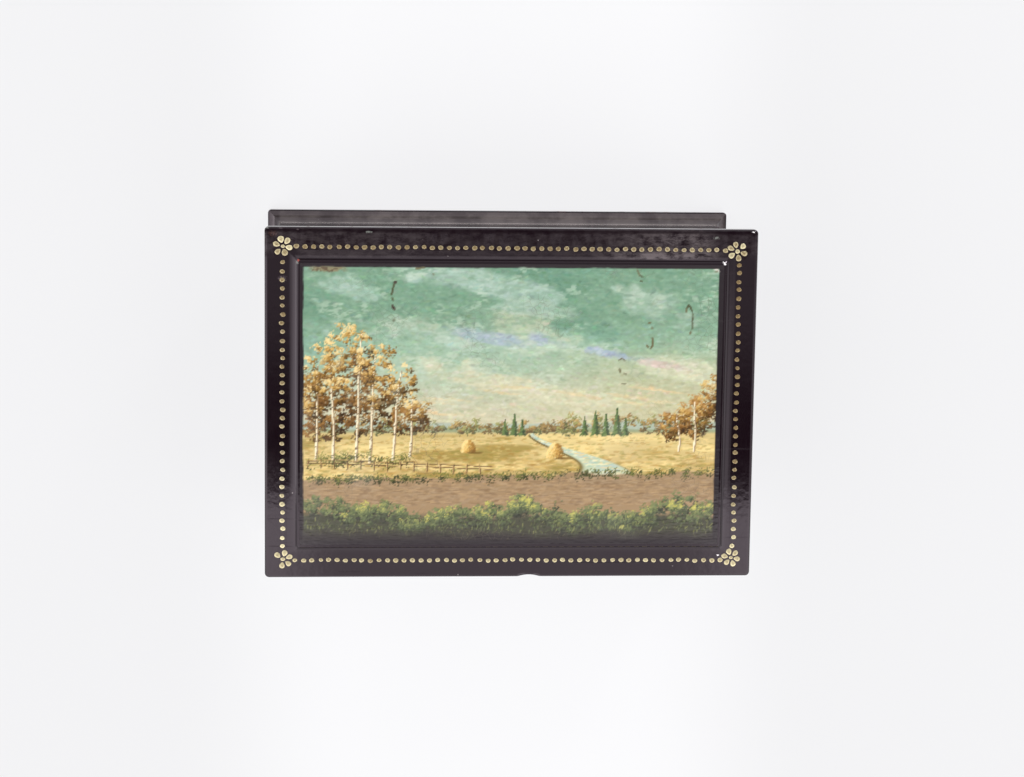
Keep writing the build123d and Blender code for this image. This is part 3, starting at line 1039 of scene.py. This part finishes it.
# %% Paint the far wood
AIR = tint(178, 176, 146)
FAR_SPRUCES = ((24, 6), (27.5, 8), (31, 7), (34.6, 9), (37.4, 5.6), (-2, 5), (1, 7), (3.6, 5))


def hazy(tones, share):
    """Tones seen through that share of hazy air."""
    return [(1 - share) * tone + share * AIR for tone in tones]


for _ in range(150):
    x = brush.uniform(-66, 66)
    tones = pick((RUST, OCHRE, OLIVE))
    tall = 1.1 + 1.5 * brush.random() + 1.2 * (abs(x + 8) > 26)
    crown(x, -8.8 + tall * 0.7, 1.6, tall, hazy(tones[:4], 0.28), 42, 0.6)
for x, height in FAR_SPRUCES:
    spruce(x, -9.8, height, hazy(SPRUCE, 0.18))
print("far spruces:", len(FAR_SPRUCES))

# %% Paint the river
RIPPLES = tints((226, 222, 186), (150, 178, 160), (168, 182, 178), (214, 190, 140))


def river_middle(t):
    """The river's course, from far at 0 to near at 1."""
    return 9 + 13 * math.sin(4.2 * t - 0.5) * (0.35 + 0.65 * t) + 30 * t * t


for y in np.linspace(-9.6, -25.5, 150):
    t = (-9.6 - y) / 15.9
    half = 0.7 + 10.5 * t ** 1.7
    dab(river_middle(t), y - 0.3, half * 2.1 + 1, 0.8, 0, tint(104, 88, 48), 0.75)
    dab(river_middle(t), y, half * 2, 0.7, 0, tint(196, 206, 176) * (1 - 0.1 * t), 0.95)
for _ in range(260):
    t = brush.random()
    half = 0.6 + 9.6 * t ** 1.7
    tone = pick(RIPPLES)
    x = river_middle(t) + brush.uniform(-0.8, 0.8) * half
    dab(x, -9.8 - 15.4 * t, 0.8 + 2.4 * t, 0.45, 0, tone, 0.6)
print("river painted")

# %% [markdown]
# ### The groves
# Birches stand on the left, and a smaller group on the right: dark crowns first, then the trunks, then
# lit crowns over both. A crown here is a place, two half sizes and a count of leaves.

# %% Paint the groves
DARK_CROWNS = ((-62, 2, 8, 10, 900), (-52, 5, 9, 12, 1100), (-43, 1, 7, 9, 700), (-33, -5, 6, 5, 420),
               (-58, -8, 12, 4, 500))
TRUNKS = ((-63.5, -18, 31, 0.03), (-58, -19, 37, -0.03), (-50.5, -18.5, 42, 0.05), (-46, -19.5, 36, 0.06),
          (-38.5, -18, 29, 0.1), (-33, -17, 19, 0.06))
LIT_CROWNS = ((-62, 12, 7, 8, 620), (-53, 18, 7.5, 9, 820), (-44, 13, 7, 8, 640), (-36.5, 7, 5.5, 6.5, 420),
              (-31, -1, 4, 4.5, 240), (-65, 1, 4, 7, 260), (-56, 5, 6, 4, 260), (-42, 3, 4, 4, 180))
RIGHT_CROWNS = ((62, -4, 7, 7, 620), (53, -7, 5.5, 4.6, 380), (66, 2, 4, 8, 360))
for x, y, w, h, count in DARK_CROWNS:
    crown(x, y, w, h, RUST[:4], count, 0.95)
for trunk in TRUNKS:
    birch(*trunk)
for x, y, w, h, count in LIT_CROWNS:
    crown(x, y, w, h, OCHRE, count, 0.85)
for x, y, w, h, count in RIGHT_CROWNS:
    crown(x, y, w, h, RUST, count, 0.9)
    crown(x - 0.8, y + 1, w * 0.85, h * 0.8, OCHRE[:5], count // 2, 0.75)
birch(60, -15, 16, 0.02, 0.8)
birch(55, -15, 12, -0.05, 0.7)
for _ in range(60):
    crown(brush.uniform(-67, -30), -18 + brush.normal(0, 0.8), 1.5, 0.8, OLIVE, 14, 0.6)
print("groves painted")

# %% [markdown]
# ### Path, fence and shrubs
# The foreground is darker and sharper than the distance, and it sinks into the black of the lacquer, so
# the picture has no hard lower edge.

# %% Paint the path and the fence
SAND = tints((178, 148, 110), (136, 112, 86), (120, 94, 68), (160, 138, 110))
POST, POST_LIGHT, RAIL, RAIL_LIGHT = tints((92, 66, 42), (214, 182, 124), (84, 60, 38), (206, 172, 112))
top = -23.2 + 0.02 * grid_x + 2.2 * (wander(9, 400, 3)[0] - 0.5)
wash(step(top[None, :] - spot_y, -0.3, 0.5) * 0.92, tint(148, 122, 92))
for _ in range(1500):
    x, y = anywhere(), brush.uniform(-33, -24)
    tone = pick(SAND)
    dab(x, y, brush.uniform(1.2, 3.5), 0.5, brush.normal(0, 0.06), tone, 0.4)
for _ in range(160):
    x = anywhere()
    crown(x, -23.4 + 0.02 * x + brush.normal(0, 0.5), 1.2, 0.7, OLIVE[:3], 5, 0.6)
for x in np.arange(-66, -6, 4.3):
    y = -20.2 - 0.035 * (x + 36) + brush.normal(0, 0.15)
    dab(x, y, 3.4, 0.55, math.pi / 2 + brush.normal(0, 0.05), POST, 0.9)
    dab(x - 0.2, y + 0.2, 2.6, 0.3, math.pi / 2, POST_LIGHT, 0.7)
    for rise in (0.3, 1.2):
        dab(x + 2.1, y + rise - 0.1, 5, 0.36, -0.035 + brush.normal(0, 0.03), RAIL, 0.85)
        dab(x + 2.1, y + rise + 0.12, 4.4, 0.24, -0.035, RAIL_LIGHT, 0.6)
print("path and fence painted")

# %% Paint the haystacks
HAY = tints((124, 90, 44), (158, 118, 58), (192, 150, 80), (218, 182, 108), (234, 204, 138))
for x, foot, size in ((14.5, -17.5, 5.2), (-14, -15.5, 4.2)):
    for _ in range(260):
        t = brush.random()
        half = size * 0.55 * math.sqrt(1 - t * t)
        off = brush.uniform(-1, 1)
        tone = lit_tone(HAY, 0.45 - 0.45 * off + 0.2 * t + brush.normal(0, 0.12))
        dab(x + off * half, foot + t * size * 0.95, 0.8, 0.4, 1.3 - off, tone, 0.7)
    dab(x + size * 0.55, foot - 0.1, size * 1.2, 0.8, 0, tint(104, 80, 38), 0.7)
    print("haystack at", x)


# %% Paint the shrubs
def hedge_rise(x):
    """The wave of the hedge's top."""
    return 2.0 * math.sin(x * 0.11 + 1.2) + 1.3 * math.sin(x * 0.27)


wash(step(spot_y + (wander(7, 3, 3) - 0.5) * 4, -35.5, -38), tint(66, 66, 52))
for x in np.arange(-66, 67, 2.9):
    rise = hedge_rise(x) + brush.normal(0, 0.9)
    crown(x + brush.normal(0, 0.6), -36.4 + rise, 3.2, 3.2, SHRUB[:4], 170, 0.9)
for _ in range(46):
    x = brush.uniform(-66, 66)
    rise = hedge_rise(x) + brush.normal(0, 1.1)
    crown(x, -35.6 + rise, brush.uniform(1.3, 2.6), brush.uniform(1.1, 2.0), SHRUB[1:], 100, 0.65)
for _ in range(900):
    x = anywhere()
    y = -40.6 + brush.normal(0, 1.7)
    tone = SHRUB[brush.integers(1, 5)] * brush.uniform(0.6, 1)
    dab(x, y, brush.uniform(0.7, 1.6), 0.4, brush.normal(1.4, 0.5), tone, 0.65)
wash(step(spot_y + (wander(6, 2.5, 3) - 0.5) * 3, -40.6, -44.6) * 0.9, tint(40, 34, 36))
print("shrubs painted")

# %% [markdown]
# ### Edge and wear
# The picture's edge was cut in by hand, with bare lacquer outside it. Age has rubbed the sky pale in
# places, flaked the top left, and left runs and cracks where the dark ground shows. A run has a colour, a
# cover, a width and a line of points, and is painted as small touches close together.

# %% Cut the edge and flake the paint
waver = (wander(12, 12, 3) - 0.5) * 0.5 + (wander(1.5, 1.5, 2) - 0.5) * 0.25
picture = step(spot_x + waver, -67.75, -67.35) * step(spot_x + waver, 67.2, 66.8)
picture = picture * step(spot_y + waver, 45.1, 44.75) * step(spot_y, -44.8, -44.4)
wash(1 - picture, tint(34, 28, 32))
wash((1 - picture) * step(spot_y, 44.4, 45.2), tint(41, 35, 38))
rubbed = step(wander(9, 6, 3), 0.55, 0.72) * step(wander(1.6, 0.7, 2), 0.45, 0.62) * step(spot_y, -6, 4)
wash(rubbed * picture * 0.35, tint(206, 214, 196))
flake = step(spot_y + (wander(2.6, 1.3, 4) - 0.5) * 4.2, 43.1, 44.0) * picture
flake = flake * step(spot_x, -66.4, -63.5) * step(spot_x, -52.5, -56)
wash(flake * 0.8, tint(132, 116, 88))
wash(flake * step(wander(1.6, 0.8, 3), 0.5, 0.62) * 0.75, tint(84, 68, 52))
print("share of the film that is picture:", picture.mean().round(2))

# %% Paint the runs
DARK, OLIVE_DARK, FAINT, PALE = tints((62, 50, 44), (72, 76, 54), (100, 94, 68), (232, 214, 208))
RUNS = [
    (DARK, 0.8, 1.1, [(-38.15, 40.2), (-38.05, 39.9)]),
    (OLIVE_DARK, 0.75, 0.62, [(-38.4, 39.4), (-38.9, 37.6), (-39.2, 36.1)]),
    (OLIVE_DARK, 0.6, 0.7, [(-39.1, 34.9), (-38.7, 34.2)]),
    (DARK, 0.75, 0.75, [(-38.9, 32.5), (-38.6, 31.8), (-38.3, 31.3)]),
    (OLIVE_DARK, 0.3, 0.9, [(-38.5, 27.9), (-38.4, 27.6)]),
    (FAINT, 0.7, 0.6, [(-31.4, 44.5), (-28.9, 44.8)]),
    (FAINT, 0.5, 0.5, [(-25.9, 42.8), (-25.7, 42.7)]),
    (FAINT, 0.5, 0.5, [(40.2, 44.4), (40.7, 43.2), (41.3, 42.6)]),
    (OLIVE_DARK, 0.55, 0.45, [(41.1, 42.5), (42.0, 42.2)]),
    (OLIVE_DARK, 0.7, 0.55, [(41.4, 40.8), (41.8, 40.7)]),
    (OLIVE_DARK, 0.7, 0.6, [(56.7, 32.1), (57.2, 33.0), (57.8, 32.4), (58.4, 31.2)]),
    (FAINT, 0.6, 0.6, [(56.6, 31.8), (56.5, 30.8)]),
    (OLIVE_DARK, 0.3, 0.4, [(58.4, 31.2), (58.7, 30.0), (58.6, 28.7)]),
    (OLIVE_DARK, 0.6, 0.55, [(58.6, 28.7), (58.5, 27.5)]),
    (OLIVE_DARK, 0.5, 0.5, [(58.6, 27.2), (58.6, 25.3)]),
    (FAINT, 0.6, 0.6, [(58.2, 24.3), (57.9, 23.7)]),
    (FAINT, 0.75, 0.6, [(44.4, 27.1), (44.8, 27.3)]),
    (FAINT, 0.4, 0.7, [(45.3, 25.6), (45.6, 25.4)]),
    (FAINT, 0.75, 0.65, [(45.6, 22.2), (45.8, 20.8), (45.6, 19.5), (45.1, 18.8)]),
    (FAINT, 0.7, 0.6, [(43.9, 19.8), (44.3, 19.3)]),
    (FAINT, 0.6, 0.4, [(34.8, 14.9), (35.7, 15.5), (36.7, 14.9)]),
    (FAINT, 0.6, 0.65, [(35.1, 12.0), (35.3, 11.0)]),
    (FAINT, 0.7, 0.5, [(36.8, 10.5), (37.2, 10.3)]),
    (FAINT, 0.7, 0.4, [(36.1, 7.1), (37.0, 7.1)]),
    (PALE, 0.45, 0.4, [(65.4, 44.6), (66.4, 44.5), (67.0, 44.1)]),
    (FAINT, 0.7, 0.4, [(65.8, 44.0), (66.3, 44.1)]),
]
for colour, cover, width, line in RUNS:
    for (x0, y0), (x1, y1) in zip(line, line[1:]):
        angle = math.atan2(y1 - y0, x1 - x0)
        for t in np.linspace(0, 1, 2 + int(math.hypot(x1 - x0, y1 - y0) / 0.3)):
            x = x0 + (x1 - x0) * t + brush.normal(0, 0.04)
            y = y0 + (y1 - y0) * t
            dab(x, y, 0.85, width * brush.uniform(1.05, 1.35), angle, colour, cover * 0.75)
canvas[:] = np.clip(canvas, 0.02, 1)
print("mean colour:", canvas.mean(axis=(0, 1)).round(2))

# %% [markdown]
# ### From canvas to film
# The film is a closed sheet a few hundredths of a millimetre thick: a grid of points on top, a skirt and
# a back. Colours on screen are not linear, and the shader works with linear ones, so the canvas is
# converted as it is written to the points. The fourth value of each point tells picture from bare
# lacquer.

# %% Lay the film on the panel
FILM_TOP = 72.03 * MM
FILM_BACK = 71.96 * MM
top = np.stack([spot_x * MM, spot_y * MM, np.full_like(spot_x, FILM_TOP)], axis=-1).reshape(-1, 3)
index = np.arange(rows * columns).reshape(rows, columns)
quads = np.stack([index[:-1, :-1], index[:-1, 1:], index[1:, 1:], index[1:, :-1]], axis=-1).reshape(-1, 4)
rim_loop = np.concatenate([index[0, :-1], index[:-1, -1], index[-1, :0:-1], index[:0:-1, 0]])
back_loop = rows * columns + np.arange(len(rim_loop))
back_middle = int(back_loop[-1]) + 1
back = top[rim_loop] * (1, 1, 0) + (0, 0, FILM_BACK)
points = np.concatenate([top, back, [(0, 0, FILM_BACK)]])
next_rim = np.roll(rim_loop, -1)
next_back = np.roll(back_loop, -1)
skirt = np.stack([rim_loop, back_loop, next_back, next_rim], axis=-1)
fan = np.stack([next_back, back_loop, np.full_like(back_loop, back_middle)], axis=-1)
film_mesh = bpy.data.meshes.new("painting")
film_mesh.from_pydata(points.tolist(), [], quads.tolist() + skirt.tolist() + fan.tolist())

linear = np.where(canvas <= 0.04045, canvas / 12.92, ((canvas + 0.055) / 1.055) ** 2.4).reshape(-1, 3)
paint = np.zeros((len(points), 4))
paint[:len(linear), :3] = linear
paint[:len(linear), 3] = picture.ravel()
paint[len(linear):, :3] = linear[0]
film_mesh.color_attributes.new("paint", "FLOAT_COLOR", "POINT").data.foreach_set("color", paint.ravel())
painting = add_object("painting", film_mesh)
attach(painting, "lid")
print("film points:", len(points))

# %% [markdown]
# ### The painted surface
# The colours come from the points. Over them lie the same haze, scratches and swell as on the bare
# lacquer, and a net of hair cracks that follows the drying of the paint, dark and very fine.

# %% Varnish the painting
CRACK = (0.1, 0.085, 0.06, 1)
CRACK_BEND = (0.0016, 0.0016, 0.0)
CRACK_DEPTH = -1.5
VARNISH_HAZE = (0.5, 0.5, 0.45, 1)
VARNISH_TINGE = (1.0, 0.93, 0.96, 1)
painted, tree, shader = new_material("painted_lacquer")
pigment = put(tree, "Attribute", attribute_name="paint")
skin = put(tree, "Group", {"Haze Scale": 60.0, "Fleck Scale": 300.0}, node_tree=handled)
place = here(tree)
bend = place.noise(300.0, 3.0)["Color"]
bent = put(tree, "VectorMath", {0: bend, 1: CRACK_BEND, 2: place}, operation="MULTIPLY_ADD")
net = put(tree, "TexVoronoi", {"Vector": bent, "Scale": 420.0}, feature="DISTANCE_TO_EDGE")["Distance"]
dried = place.noise(55.0, 2.0).ramp(0.5, 0.68, 0.0, 0.35)
crack = net.ramp(0.035, 0.01) * dried * pigment["Alpha"]
colour = crack.mix(pigment["Color"], CRACK)
colour = (skin["Haze"] * 0.1 * pigment["Alpha"]).mix(colour, VARNISH_HAZE)
rough = skin["Haze"] * 0.15 + 0.08
rough = skin["Scratch"].calc("MULTIPLY_ADD", SCRATCH_ADDS, rough, clamp=True)
fill(shader, {"Base Color": colour, "Roughness": rough, "Specular Tint": VARNISH_TINGE})
strokes = place.streaks((350.0, 1500.0, 350.0), 3.0)
emboss(shader, crack * CRACK_DEPTH + (strokes + skin["Height"]), 0.15, 0.08)
film_mesh.materials.append(painted)
print("varnished:", painted.name)
